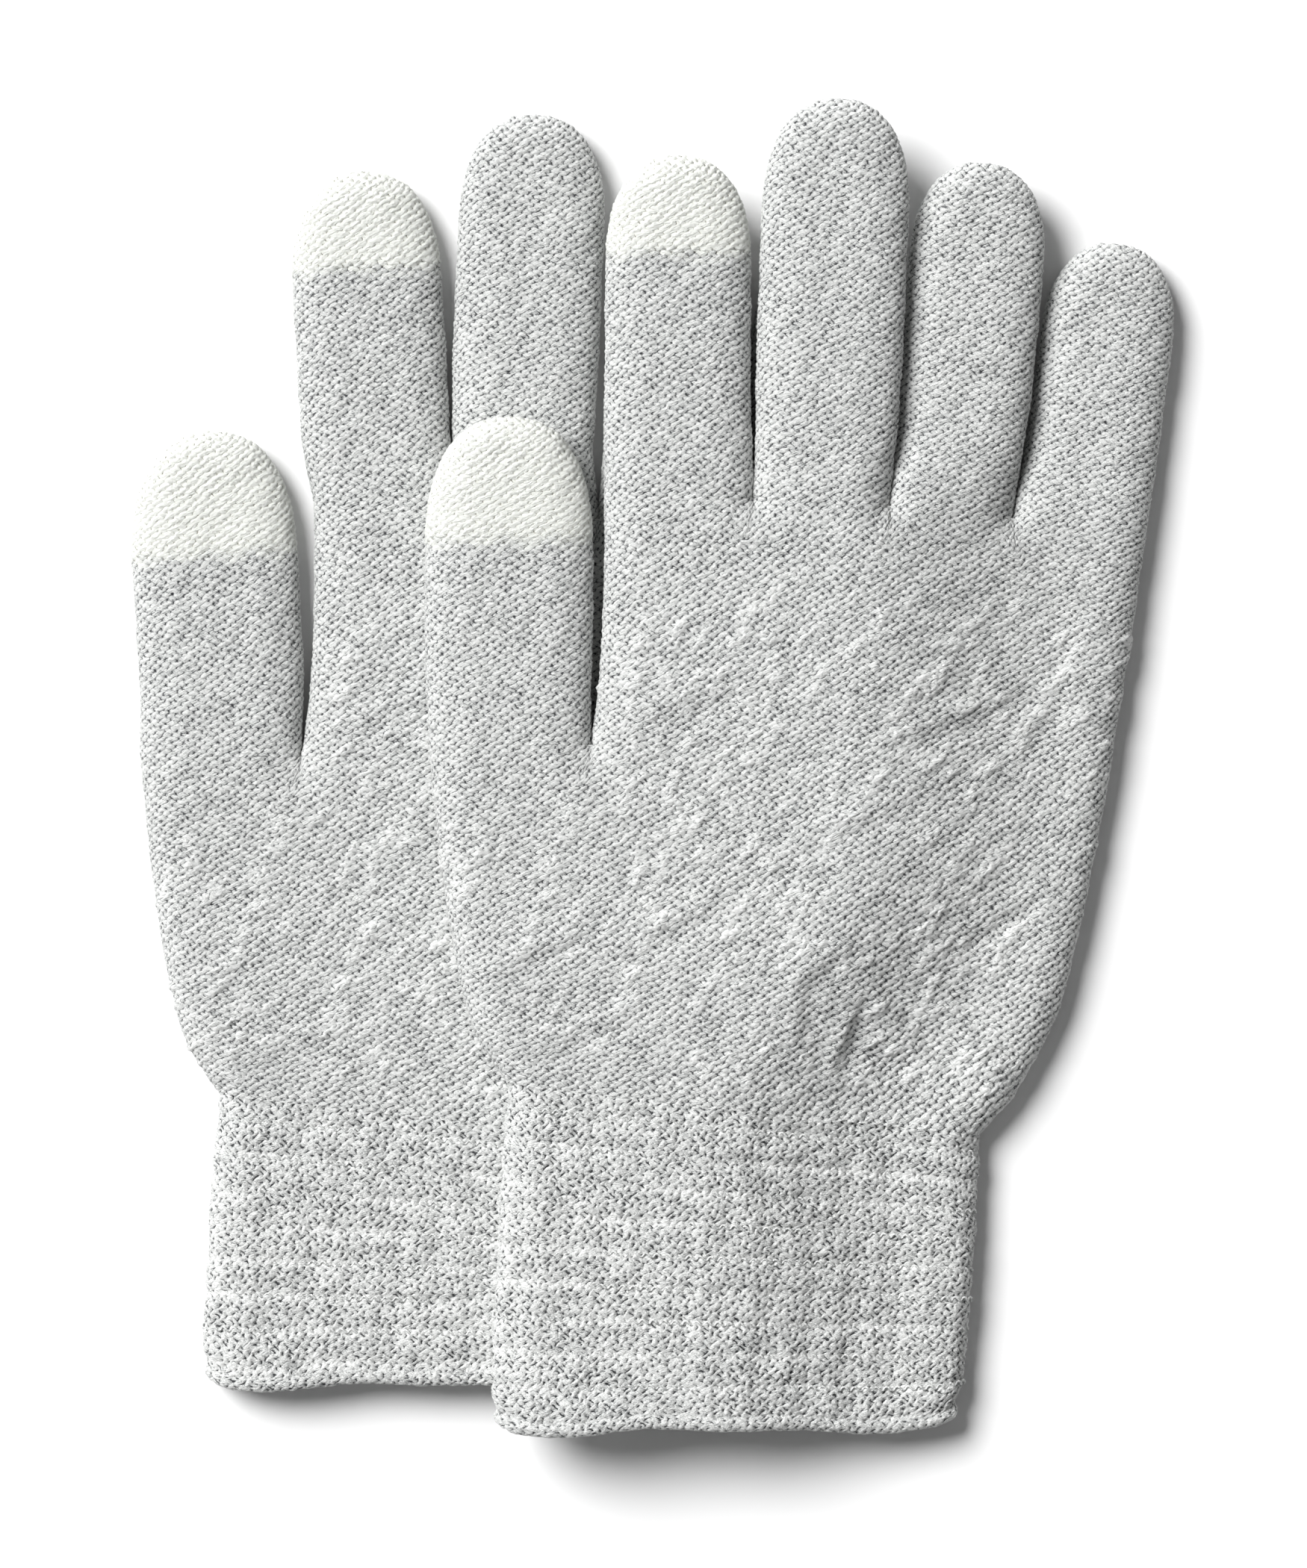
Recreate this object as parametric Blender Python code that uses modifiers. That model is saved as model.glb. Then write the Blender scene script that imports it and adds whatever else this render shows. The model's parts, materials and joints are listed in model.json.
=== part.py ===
"""A pair of knitted touchscreen gloves lying flat, one glove on top of the other.

+X runs across the hands, +Y along them towards the fingertips, +Z up from the table, in metres.
The origin is on the table, below the middle of the pair. Both gloves are knitted alike, and the under one's
cuff is shorter.
The top one lies on the under one and sags to the table where the under glove ends.
Each glove is a set of hollow knitted tubes, one for each zone of knitting. A digit is cut where it bends.
"""
import math

import bmesh
import bpy
from mathutils import Vector

MM = 0.001

# Driving dimensions, in millimetres.
GAP = 0.35                   # between neighbouring pieces
HAND_HEIGHT = 9.2            # a hand or cuff tube lying flat
DIGIT_HEIGHT = 8.8           # a finger or thumb tube lying flat
HAND_WALL = 1.8              # thickness of the plain knit
CUFF_WALL = 1.4              # thickness of the cuff's knit
HEM_RADIUS = 1.3             # the rolled edge of the cuff
ELASTIC_RADIUS = 0.25
ELASTIC_TURNS = 9
ELASTIC_SHARES = (0.94, 0.06)  # where it starts and ends, as shares of the way from the wrist to the mouth
TOP_LIFT = 9.6               # the top glove's underside, where it lies on the under glove
SAG_RUN = 38.0               # how far sideways the top glove takes to reach the table

# Section shape: a flattened tube with a flat underside, round sides and a crowned top.
SECTION_POINTS = 16
SECTION_POWER = 2.6
FLAT_CUT = 0.766             # how far down the section goes before its underside is cut flat
WIDEST_UP = FLAT_CUT / (1.0 + FLAT_CUT)  # where the section is widest, as a share of its height
DOME_POWER = 2.3             # roundness of a closed digit, seen from above
DOME_STEPS = (0.35, 0.62, 0.82, 0.94)
TIP_ROUND = 6.0              # length over which a closed digit thins towards its end
RING_SPACING = 2.5           # the least distance from a closed digit's first ring to the next one

# The hand's outline: (left x, left y, right x, right y) across the glove.
WRIST = (-24.5, -54.0, 56.0, -63.0)
HAND_LINES = (
    (-30.0, -46.0, 64.0, -53.0),
    (-34.3, -30.0, 71.0, -38.0),
    (-37.3, -7.0, 76.0, -14.0),
)
THUMB_CROTCH_Y = 4.0
THUMB_CROTCH_X = -10.0
HAND_LEFT_AT_CROTCH, HAND_RIGHT_AT_CROTCH = -38.3, 79.5
KNUCKLE_MID = (-8.4, 25.0, 82.0, 25.0)

# The finger roots lie on an arc, so that each finger stands square to it.
KNUCKLE_X = 4.0
KNUCKLE_Y = 46.3
KNUCKLE_DROP = 0.00105       # drop per square millimetre away from KNUCKLE_X

# The cuff, from the wrist to its mouth: its middle drifts left and it is cut square at the mouth.
CUFF_DRIFT = -3.2
CUFF_WIDTH = 81.0

# A digit: root centre x, lean to the right in degrees, length, width at the root and at the fingertip's
# base, where it bends and where the touch tip starts, as distances from the root.
DIGITS = {
    "thumb": dict(x=-24.9, lean=0.3, length=56.0, root=26.8, full=28.4, bend=25.0, touch=34.5),
    "index": dict(x=4.1, lean=0.2, length=58.5, root=24.8, full=25.8, bend=26.0, touch=42.0),
    "middle": dict(x=29.0, lean=2.4, length=69.0, root=23.4, full=25.0, bend=33.0, touch=None),
    "ring": dict(x=51.4, lean=5.6, length=60.2, root=20.2, full=22.0, bend=29.0, touch=None),
    "little": dict(x=73.8, lean=7.4, length=49.0, root=21.8, full=22.0, bend=24.0, touch=None),
}
WIDEST_AT = 0.45             # of a digit's length
DOME_START = 0.75            # of a digit's width, back from its end

# Where the under glove lies, and how its digits lie differently: sideways shift and lean.
UNDER_SHIFT = (-50.0, -2.0)
UNDER_LIE = {
    "thumb": (0.9, -3.4),
    "index": (-1.5, -3.1),
    "middle": (-1.9, 2.4),
    "ring": (0.6, 2.6),
    "little": (0.6, 6.4),
}
CUFF_LENGTH = {"top": 52.6, "under": 43.4}

# The top glove's sag: how far right it stays up, at the cuff and at the hand.
SAG_X_CUFF, SAG_X_HAND = 8.0, 34.0
SAG_Y_CUFF, SAG_Y_HAND = -64.0, -10.0
DIGIT_LIFT = {"thumb": 1.0, "index": 1.0, "middle": 1.0, "ring": 0.48, "little": 0.0}

PAIR_CENTRE = (-0.51, 0.27)

GREY_YARN = (0.52, 0.53, 0.54, 1.0)
CUFF_YARN = (0.55, 0.56, 0.56, 1.0)
TOUCH_YARN = (0.84, 0.85, 0.81, 1.0)
ELASTIC_WHITE = (0.88, 0.88, 0.86, 1.0)


def clear_scene():
    for obj in list(bpy.data.objects):
        bpy.data.objects.remove(obj, do_unlink=True)


def make_material(name, colour, roughness):
    material = bpy.data.materials.new(name)
    material.use_nodes = True
    shader = material.node_tree.nodes["Principled BSDF"]
    shader.inputs["Base Color"].default_value = colour
    shader.inputs["Roughness"].default_value = roughness
    shader.inputs["Metallic"].default_value = 0.0
    return material


def smoothstep(t):
    t = min(max(t, 0.0), 1.0)
    return t * t * (3.0 - 2.0 * t)


def top_glove_height(x, y):
    """Height of the top glove's underside above the table."""
    along = smoothstep((y - SAG_Y_CUFF) / (SAG_Y_HAND - SAG_Y_CUFF))
    edge = SAG_X_CUFF + (SAG_X_HAND - SAG_X_CUFF) * along
    return TOP_LIFT * (1.0 - smoothstep((x - edge) / SAG_RUN))


def section_shape():
    """Points round a section: across from -1 to 1, and up from 0 on the flat underside to 1."""
    points = []
    for step in range(SECTION_POINTS):
        angle = 2.0 * math.pi * step / SECTION_POINTS
        across = math.copysign(abs(math.cos(angle)) ** (2.0 / SECTION_POWER), math.cos(angle))
        up = math.copysign(abs(math.sin(angle)) ** (2.0 / SECTION_POWER), math.sin(angle))
        points.append((across, (max(up, -FLAT_CUT) + FLAT_CUT) / (1.0 + FLAT_CUT)))
    return points


def section(left, right, height, lift=0.0):
    """One ring of points between two edge points of the outline, standing up from the height lift."""
    middle = (Vector(left) + Vector(right)) / 2.0
    half = (Vector(right) - Vector(left)) / 2.0
    ring = []
    for across, up in section_shape():
        place = middle + half * across
        ring.append(Vector((place.x, place.y, lift + up * height)))
    return ring


def knit_tube(name, rings, wall, material, closed_end=None, sag=None):
    """A hollow tube through the rings, its wall inside them, with an optional end point to close it."""
    mesh = bpy.data.meshes.new(name)
    build = bmesh.new()
    loops = []
    for ring in rings:
        loops.append([build.verts.new(point * MM) for point in ring])
    for near, far in zip(loops, loops[1:]):
        for i in range(SECTION_POINTS):
            j = (i + 1) % SECTION_POINTS
            build.faces.new((near[i], far[i], far[j], near[j]))
    if closed_end is not None:
        pole = build.verts.new(closed_end * MM)
        for i in range(SECTION_POINTS):
            build.faces.new((loops[-1][i], pole, loops[-1][(i + 1) % SECTION_POINTS]))
    if sag is not None:
        for vert in build.verts:
            vert.co.z += sag(vert.co.x / MM, vert.co.y / MM) * MM
    build.to_mesh(mesh)
    build.free()
    mesh.materials.append(material)
    mesh.shade_smooth()
    obj = bpy.data.objects.new(name, mesh)
    collection.objects.link(obj)
    shell = obj.modifiers.new("wall", "SOLIDIFY")
    shell.thickness = wall * MM
    shell.offset = -1.0
    shell.use_even_offset = True
    return obj


def knuckle_y(x):
    return KNUCKLE_Y - KNUCKLE_DROP * (x - KNUCKLE_X) ** 2


def lie_of(glove):
    """How far a glove is moved from where its outline is given."""
    dx, dy = UNDER_SHIFT if glove == "under" else (0.0, 0.0)
    return dx - PAIR_CENTRE[0], dy - PAIR_CENTRE[1]


def shifted(line, glove):
    """An outline line (left x, left y, right x, right y) as two points where the glove lies."""
    dx, dy = lie_of(glove)
    return (line[0] + dx, line[1] + dy), (line[2] + dx, line[3] + dy)


def moved_up(line, distance):
    """The same line, moved along the hand."""
    return line[0], line[1] + distance, line[2], line[3] + distance


class Digit:
    """A finger or thumb: a straight flattened tube from its root to a rounded end."""

    def __init__(self, glove, name):
        size = DIGITS[name]
        shift, lean = (0.0, size["lean"]) if glove == "top" else UNDER_LIE[name]
        root_y = THUMB_CROTCH_Y if name == "thumb" else knuckle_y(size["x"])
        (x, y), _ = shifted((size["x"] + shift, root_y, 0.0, 0.0), glove)
        angle = math.radians(lean)
        self.size = size
        self.root = Vector((x, y))
        self.along = Vector((math.sin(angle), math.cos(angle)))
        self.across = Vector((math.cos(angle), -math.sin(angle)))
        self.length = size["length"]
        root_slope = 0.0 if name == "thumb" else math.atan(2.0 * KNUCKLE_DROP * (size["x"] - KNUCKLE_X))
        self.start = GAP + abs(math.sin(angle - root_slope)) * size["root"] / 2.0
        self.dome = size["full"] * DOME_START
        self.lift = DIGIT_LIFT[name] * TOP_LIFT if glove == "top" else 0.0

    def point(self, distance):
        return self.root + self.along * distance

    def width(self, distance):
        grown = smoothstep(distance / (WIDEST_AT * self.length))
        return self.size["root"] + (self.size["full"] - self.size["root"]) * grown

    def ring(self, distance, into_dome=0.0):
        """A section at a distance from the root; into_dome runs from 0 to 1 over the rounded end."""
        taper = (1.0 - into_dome ** DOME_POWER) ** (1.0 / DOME_POWER)
        to_end = max(0.0, 1.0 - (self.length - distance) / TIP_ROUND)
        height = DIGIT_HEIGHT * (1.0 - to_end ** DOME_POWER) ** (1.0 / DOME_POWER)
        sink = (DIGIT_HEIGHT - height) * WIDEST_UP
        half = self.across * self.width(distance) * taper / 2.0
        middle = self.point(distance)
        return section(middle - half, middle + half, height, self.lift + sink)

    def open_rings(self, start, stop):
        return [self.ring(start), self.ring((start + stop) / 2.0), self.ring(stop)]

    def closed_rings(self, start):
        """Rings from the start to near the end, and the end point that closes them."""
        dome_start = self.length - self.dome
        rings = [self.ring(start)]
        if dome_start > start + RING_SPACING:
            rings.append(self.ring(dome_start))
        for into in DOME_STEPS:
            distance = dome_start + self.dome * into
            if distance > start + RING_SPACING:
                rings.append(self.ring(distance, into))
        end = self.point(self.length)
        return rings, Vector((end.x, end.y, self.lift + DIGIT_HEIGHT * WIDEST_UP))


def make_digit(glove, name):
    digit = Digit(glove, name)
    bend, touch = digit.size["bend"], digit.size["touch"]
    yarn = materials["grey_yarn"]
    knit_tube(f"{glove}_{name}_base", digit.open_rings(digit.start, bend - GAP / 2.0), HAND_WALL, yarn)
    if touch is None:
        rings, end = digit.closed_rings(bend + GAP / 2.0)
        knit_tube(f"{glove}_{name}_sleeve", rings, HAND_WALL, yarn, closed_end=end)
        return
    rings = digit.open_rings(bend + GAP / 2.0, touch - GAP / 2.0)
    knit_tube(f"{glove}_{name}_sleeve", rings, HAND_WALL, yarn)
    rings, end = digit.closed_rings(touch + GAP / 2.0)
    knit_tube(f"{glove}_{name}_touch_tip", rings, HAND_WALL, materials["touch_yarn"], closed_end=end)


def sag_of(glove):
    return top_glove_height if glove == "top" else None


def make_five_finger_body(glove):
    """The hand from the wrist to the thumb crotch."""
    crotch_line = (HAND_LEFT_AT_CROTCH, THUMB_CROTCH_Y, HAND_RIGHT_AT_CROTCH, THUMB_CROTCH_Y)
    lines = [moved_up(WRIST, GAP), *HAND_LINES, crotch_line]
    rings = [section(*shifted(line, glove), HAND_HEIGHT) for line in lines]
    knit_tube(f"{glove}_five_finger_body", rings, HAND_WALL, materials["grey_yarn"], sag=sag_of(glove))


def make_four_finger_body(glove):
    """The hand from the thumb crotch to the arc of the finger roots."""
    start = THUMB_CROTCH_Y + GAP
    left_root = DIGITS["index"]["x"] - DIGITS["index"]["root"] / 2.0
    right_root = DIGITS["little"]["x"] + DIGITS["little"]["root"] / 2.0
    low = (THUMB_CROTCH_X, start, HAND_RIGHT_AT_CROTCH, start)
    high = (left_root, knuckle_y(left_root), right_root, knuckle_y(right_root))
    rings = [section(*shifted(line, glove), HAND_HEIGHT) for line in (low, KNUCKLE_MID, high)]
    dx, dy = lie_of(glove)
    for point in rings[-1]:
        point.y = knuckle_y(point.x - dx) + dy
    knit_tube(f"{glove}_four_finger_body", rings, HAND_WALL, materials["grey_yarn"], sag=sag_of(glove))


def cuff_line(glove, share):
    """The cuff's outline line at a share of the way from the wrist to the mouth."""
    length = CUFF_LENGTH[glove]
    wrist_x = (WRIST[0] + WRIST[2]) / 2.0
    wrist_y = (WRIST[1] + WRIST[3]) / 2.0
    slant = (WRIST[1] - WRIST[3]) / 2.0 * (1.0 - share)
    middle = wrist_x + CUFF_DRIFT * share
    y = wrist_y - length * share
    return middle - CUFF_WIDTH / 2.0, y + slant, middle + CUFF_WIDTH / 2.0, y - slant


def make_cuff(glove):
    """The wrist tube, its rolled hem and the elastic thread that lies inside its wall."""
    mouth, middle, wrist = 1.0, 0.5, 0.0
    lines = [shifted(cuff_line(glove, share), glove) for share in (mouth, middle, wrist)]
    rings = [section(*line, HAND_HEIGHT) for line in lines]
    knit_tube(f"{glove}_cuff", rings, CUFF_WALL, materials["cuff_yarn"], sag=sag_of(glove))
    make_hem(glove)
    make_elastic(glove)


def inset_section(glove, share, inset, below=0.0):
    """A section of the cuff, every side of it moved inwards by the inset."""
    left, right = shifted(moved_up(cuff_line(glove, share), -below), glove)
    ring = section(left, right, HAND_HEIGHT)
    if glove == "top":
        for point in ring:
            point.z += top_glove_height(point.x, point.y)
    across = (ring[0] - ring[SECTION_POINTS // 2]).normalized()
    facing = across.cross(Vector((0.0, 0.0, 1.0)))
    inward = []
    for start, stop in zip(ring, ring[1:] + ring[:1]):
        inward.append(facing.cross(stop - start).normalized())
    inner = []
    for i, point in enumerate(ring):
        before, after = inward[i - 1], inward[i]
        inner.append(point + (before + after) * (inset / (1.0 + before.dot(after))))
    return inner


def thread(name, points, radius, material, cyclic):
    """A round thread through the points, as a curve with filled ends."""
    curve = bpy.data.curves.new(name, "CURVE")
    curve.dimensions = "3D"
    curve.bevel_depth = radius * MM
    curve.bevel_resolution = 1
    curve.use_fill_caps = not cyclic
    spline = curve.splines.new("POLY")
    spline.points.add(len(points) - 1)
    for knot, point in zip(spline.points, points):
        knot.co = (*(point * MM), 1.0)
    spline.use_cyclic_u = cyclic
    curve.materials.append(material)
    obj = bpy.data.objects.new(name, curve)
    collection.objects.link(obj)
    return obj


def make_hem(glove):
    ring = inset_section(glove, 1.0, HEM_RADIUS, below=HEM_RADIUS + GAP)
    thread(f"{glove}_cuff_hem", ring, HEM_RADIUS, materials["cuff_yarn"], cyclic=True)


def make_elastic(glove):
    """One thread that winds round inside the cuff's wall, from near the mouth to near the wrist."""
    inset = CUFF_WALL + GAP + ELASTIC_RADIUS
    first, last = ELASTIC_SHARES
    steps = ELASTIC_TURNS * SECTION_POINTS
    points = []
    for step in range(steps):
        share = first + (last - first) * step / steps
        points.append(inset_section(glove, share, inset)[step % SECTION_POINTS])
    thread(f"{glove}_cuff_elastic", points, ELASTIC_RADIUS, materials["elastic"], cyclic=False)


def make_glove(glove):
    make_cuff(glove)
    make_five_finger_body(glove)
    make_four_finger_body(glove)
    for name in DIGITS:
        make_digit(glove, name)


clear_scene()
collection = bpy.data.collections.new("touchscreen_gloves")
bpy.context.scene.collection.children.link(collection)
materials = {
    "grey_yarn": make_material("grey_yarn", GREY_YARN, 0.95),
    "cuff_yarn": make_material("cuff_yarn", CUFF_YARN, 0.95),
    "touch_yarn": make_material("touch_yarn", TOUCH_YARN, 0.9),
    "elastic": make_material("elastic", ELASTIC_WHITE, 0.6),
}
make_glove("under")
make_glove("top")
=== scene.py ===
"""Looks of a pair of knitted touchscreen gloves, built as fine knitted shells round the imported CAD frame.

Each glove is worked out as flat tubes of knitting: a ring of points for every fraction of a course, with the
stitches pressed into the surface. A tube is then cut into one piece for each CAD node that it replaces.
Sizes are millimetres unless a name says otherwise.
"""
import json
import math

import bpy
import numpy as np
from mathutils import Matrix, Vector

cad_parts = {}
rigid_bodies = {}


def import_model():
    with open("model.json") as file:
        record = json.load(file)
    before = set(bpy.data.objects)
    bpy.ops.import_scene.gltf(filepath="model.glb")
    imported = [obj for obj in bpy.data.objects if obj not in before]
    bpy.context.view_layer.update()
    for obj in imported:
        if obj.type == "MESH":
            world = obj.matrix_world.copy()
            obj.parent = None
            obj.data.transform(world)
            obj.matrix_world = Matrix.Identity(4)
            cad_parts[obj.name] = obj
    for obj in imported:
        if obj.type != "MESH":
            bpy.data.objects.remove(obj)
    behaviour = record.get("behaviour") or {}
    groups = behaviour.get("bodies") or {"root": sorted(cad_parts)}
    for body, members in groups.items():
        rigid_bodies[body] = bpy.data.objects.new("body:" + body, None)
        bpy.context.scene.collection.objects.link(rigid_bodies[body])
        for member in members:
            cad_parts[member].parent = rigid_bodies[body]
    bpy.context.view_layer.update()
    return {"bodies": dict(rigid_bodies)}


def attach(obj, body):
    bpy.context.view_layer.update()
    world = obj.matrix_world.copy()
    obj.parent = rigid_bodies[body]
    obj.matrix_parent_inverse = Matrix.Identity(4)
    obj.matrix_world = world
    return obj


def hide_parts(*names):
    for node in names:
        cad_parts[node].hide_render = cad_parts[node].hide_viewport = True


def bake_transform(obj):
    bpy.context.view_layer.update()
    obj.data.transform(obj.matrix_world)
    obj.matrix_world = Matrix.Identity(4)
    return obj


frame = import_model()

MM = 0.001

# Stitches
WALE = 2.0                   # width of a column of stitches
COURSE = 0.70                # from one row of stitches to the next, half a wale along
STITCH_RISE = 0.26           # how much of a course a stitch climbs across its wale
STITCH_DEPTH = 0.44
CUFF_WALE = 1.85
CUFF_COURSE = 0.82
CUFF_RISE = 0.12
CUFF_ARCH = 0.62             # how much of a course the ends of a purl loop hang below its middle
CUFF_DEPTH = 0.44
STITCH_HALF = 0.80           # half the height of a stitch, in courses
STITCH_LEVEL = 0.6           # the part of a stitch's height that lies on the tube's surface
STITCH_UNEVEN = 0.5          # how much the depth differs from stitch to stitch
RIB_WIDTH, RIB_HEIGHT = 7.2, 0.12
CUFF_UNEVEN = 0.26           # slow rise and fall of the cuff's face

# Elastic courses in the cuff, down from the wrist
ELASTIC_PITCH = 5.5
ELASTIC_FIRST = 3.4
ELASTIC_TURNS = 9
ELASTIC_RADIUS = 0.22
ELASTIC_DENT = 0.26          # how far an elastic course draws the knit in
ELASTIC_DEPTH = 0.30         # how deep the elastic lies in the knit
ELASTIC_WAVE = 0.22
ELASTIC_SHOWN = 0.42
ELASTIC_SWAY = 0.34
ELASTIC_FROM_MOUTH = 2.0     # no elastic nearer to the mouth than this
THREAD_SIDES = 5

# The raised knit: puckers everywhere, and chains of knots with lumps between them on the hand
PUCKER_LENGTH = 6.5
PUCKER_WIDTH = 3.1
PUCKER_LUMP = 2.3
PUCKER_LEAN = math.radians(33)
PUCKER_HEIGHT = 0.187
KNOT_SPACING = 4.9
KNOT_LENGTH, KNOT_WIDTH = 2.2, 1.20
KNOT_LEAN = math.radians(32)
KNOT_HEIGHT = 0.46
KNOT_SWAY = 0.7
LUMP_LENGTH, LUMP_WIDTH = 2.6, 1.5
LUMP_HEIGHT = 0.75           # as a share of a knot's
PATCH_LENGTH, PATCH_WIDTH = 13.0, 10.0
RAISED_END_Y, RAISED_FADE = 38.0, 14.0
THUMB_ROOT_X, THUMB_CLEAR, THUMB_FADE = -24.5, 9.0, 10.0
WRIST_FADE = 7.0

# Seeds, and how strong each glove's folds are
GLOVE_SEED = {"top": 11, "under": 37}
KNOT_SEED, HEM_SEED, ELASTIC_SEED = 91, 77, 5
FOLD_STRENGTH = {"top": 1.0, "under": 0.5}

# Mesh spacing
STEP_ACROSS = 0.42
STEP_HIDDEN = 1.1            # across the undersides
STEP_ALONG = 0.31
RIM_ANGLE = math.radians(75)
LOWEST = 0.05                # the knit is pressed flat where it would dip below this
INNER_EVERY = 6              # rows of the outer face to one row of the inner face

# The tubes' sections
HAND_HEIGHT = 8.7
DIGIT_HEIGHT = 8.3
MIDDLE_UP = 0.44             # share of the height at which a section is widest
RIM = 8.5                    # how far in from its edge a tube's upper face is rounded
RIM_LOW = 4.0                # the same for its underside
RIM_POWER = 2.2
WALL = 1.7
TIP_ROUND = 6.0
TOP_LIFT = 9.6
SAG_RUN = 38.0
SAG_X_CUFF, SAG_X_HAND = 8.0, 34.0
SAG_Y_CUFF, SAG_Y_HAND = -64.0, -10.0

# The outline of the hand as rows of: share of the way, left x and y, right x and y
WRIST_TO_THUMB = (
    (0.00, -24.6, -54.2, 56.2, -63.2),
    (0.07, -27.4, -50.2, 60.6, -58.0),
    (0.16, -30.2, -45.6, 65.2, -51.2),
    (0.30, -32.7, -37.6, 69.6, -42.2),
    (0.46, -34.6, -28.2, 72.5, -32.0),
    (0.64, -36.2, -16.8, 75.0, -20.2),
    (0.82, -37.4, -6.6, 77.3, -8.0),
    (1.00, -38.3, 4.0, 79.4, 4.0),
)
THUMB_TO_KNUCKLES = (
    (0.00, -10.6, 4.0, 79.4, 4.0),
    (0.25, -9.3, 13.9, 80.9, 13.4),
    (0.50, -8.6, 24.4, 82.4, 22.8),
    (0.75, -8.3, 35.2, 83.7, 31.6),
    (1.00, -8.35, 46.2, 84.8, 40.2),
)
THUMB_CROTCH_Y = 4.0
WRIST_V, THUMB_V, KNUCKLE_V = -58.0, 4.0, 45.5   # the same places counted along the knitting

# Digits: the x of the root's two sides, lean in degrees, sideways drift, length, full width, bend, touch tip
KNUCKLES = (-8.35, 17.1, 40.5, 61.9, 84.8)
KNUCKLE_X, KNUCKLE_Y, KNUCKLE_DROP = 4.0, 46.3, 0.00093
DIGITS = {
    "thumb": dict(root=(-38.3, -10.6), lean=0.3, drift=-0.4, length=56.2, full=28.6, bend=25.0, touch=35.3),
    "index": dict(root=KNUCKLES[0:2], lean=0.2, drift=-0.25, length=58.9, full=24.8, bend=26.0, touch=42.4),
    "middle": dict(root=KNUCKLES[1:3], lean=2.4, drift=0.35, length=69.2, full=25.0, bend=33.0, touch=None),
    "ring": dict(root=KNUCKLES[2:4], lean=5.6, drift=0.1, length=60.2, full=23.2, bend=29.0, touch=None),
    "little": dict(root=KNUCKLES[3:5], lean=7.6, drift=0.5, length=49.2, full=22.6, bend=24.0, touch=None),
}
FINGERS = ("index", "middle", "ring", "little")
WIDEST_AT = 0.40
DOME_START = 0.75
DOME_POWER = 2.3
DIGIT_LIFT = {"thumb": 1.0, "index": 1.0, "middle": 1.0, "ring": 0.48, "little": 0.0}
SETTLE = 14.0                # length over which a digit levels out from the sagging hand
MERGE_RUN = 9.0              # length over which the hand's columns draw together into its branches'

# How the lower glove lies: its shift, and each digit's drift, lean and full width
UNDER_SHIFT = (-50.0, -2.0)
UNDER_LIE = {
    "thumb": (0.9, -3.4, 28.4),
    "index": (-1.5, -3.1, 25.6),
    "middle": (-1.9, 2.4, 25.0),
    "ring": (0.6, 2.6, 21.8),
    "little": (0.6, 6.4, 21.8),
}
PAIR_CENTRE = (-0.51, 0.27)

# The cuff
CUFF_LENGTH = {"top": 52.8, "under": 43.6}
CUFF_DRIFT = -3.2
CUFF_BELLY = 0.5             # how far each side of the cuff swells out halfway down
DRAW_IN = 1.0                # how far each side draws in at the mouth
DRAW_IN_FROM = 0.93          # share of the cuff's length at which that starts
HEM_RADIUS = 1.35
HEM_INSET = 0.9
HEM_OUT = 0.7                # how far the hem stands out past the mouth
HEM_DEPTH = 0.35
HEM_UNEVEN = 0.12
HEM_STEPS = 22
HEM_WAVE = 0.55
CORNER_START, CORNER_RUN, CORNER_DEPTH = 35.5, 7.0, 1.8
MOUTH_RUN = 9.0              # how far up the cuff the waving of its mouth reaches

# Folds pressed into the hand: x, y, direction in degrees, half length, half width, height
FOLDS = (
    (28.0, -33.0, 50.0, 6.5, 1.7, 0.45),
    (24.0, -42.5, 97.0, 6.0, 1.6, 0.45),
    (31.5, -47.0, 84.0, 7.0, 1.4, 0.60),
    (47.0, -51.0, 150.0, 8.0, 1.5, 0.70),
    (55.0, -47.0, 146.0, 9.0, 1.8, 0.60),
    (40.0, -42.0, 140.0, 8.0, 1.6, 0.45),
    (-12.0, -44.0, 28.0, 9.0, 1.8, 0.45),
    (-20.0, -30.0, 36.0, 11.0, 1.9, 0.40),
    (2.0, -26.0, 35.0, 12.0, 1.8, 0.40),
    (34.0, -8.0, 28.0, 12.0, 1.8, 0.40),
    (52.0, 10.0, 26.0, 11.0, 1.8, 0.35),
    (8.0, 14.0, 30.0, 11.0, 1.9, 0.35),
    (60.0, -24.0, 33.0, 10.0, 1.7, 0.40),
)

# Chains of raised knots on the hand, from and to
CHAINS = (
    (-21.5, -31.0, -10.8, 2.0),
    (-3.7, 15.0, 0.0, 26.0),
    (14.0, 22.5, 25.0, 33.5),
    (27.0, 13.0, 47.0, 33.0),
    (39.0, 5.5, 58.0, 28.5),
    (48.0, -12.0, 62.0, 4.0),
    (12.0, -2.0, 21.0, 6.0),
    (1.0, -18.5, 7.0, -6.0),
    (11.5, -36.5, 15.0, -24.0),
    (-5.0, -40.0, 1.0, -26.0),
    (45.7, -28.0, 60.0, -15.0),
    (31.0, -12.0, 44.0, 6.0),
    (58.0, -34.0, 66.0, -24.0),
    (-30.0, -14.0, -25.0, -2.0),
    (63.0, 6.0, 73.0, 20.0),
)

# Stretches along a digit: from its root on, and from before to after its middle joint's hinge
ROOT_TURN = 14.0
TURN_BEFORE, TURN_AFTER = 4.0, 9.0


# ---------------------------------------------------------------------------------------------------------
# Arithmetic that works on arrays of numbers and on shader nodes alike
# ---------------------------------------------------------------------------------------------------------

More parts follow.
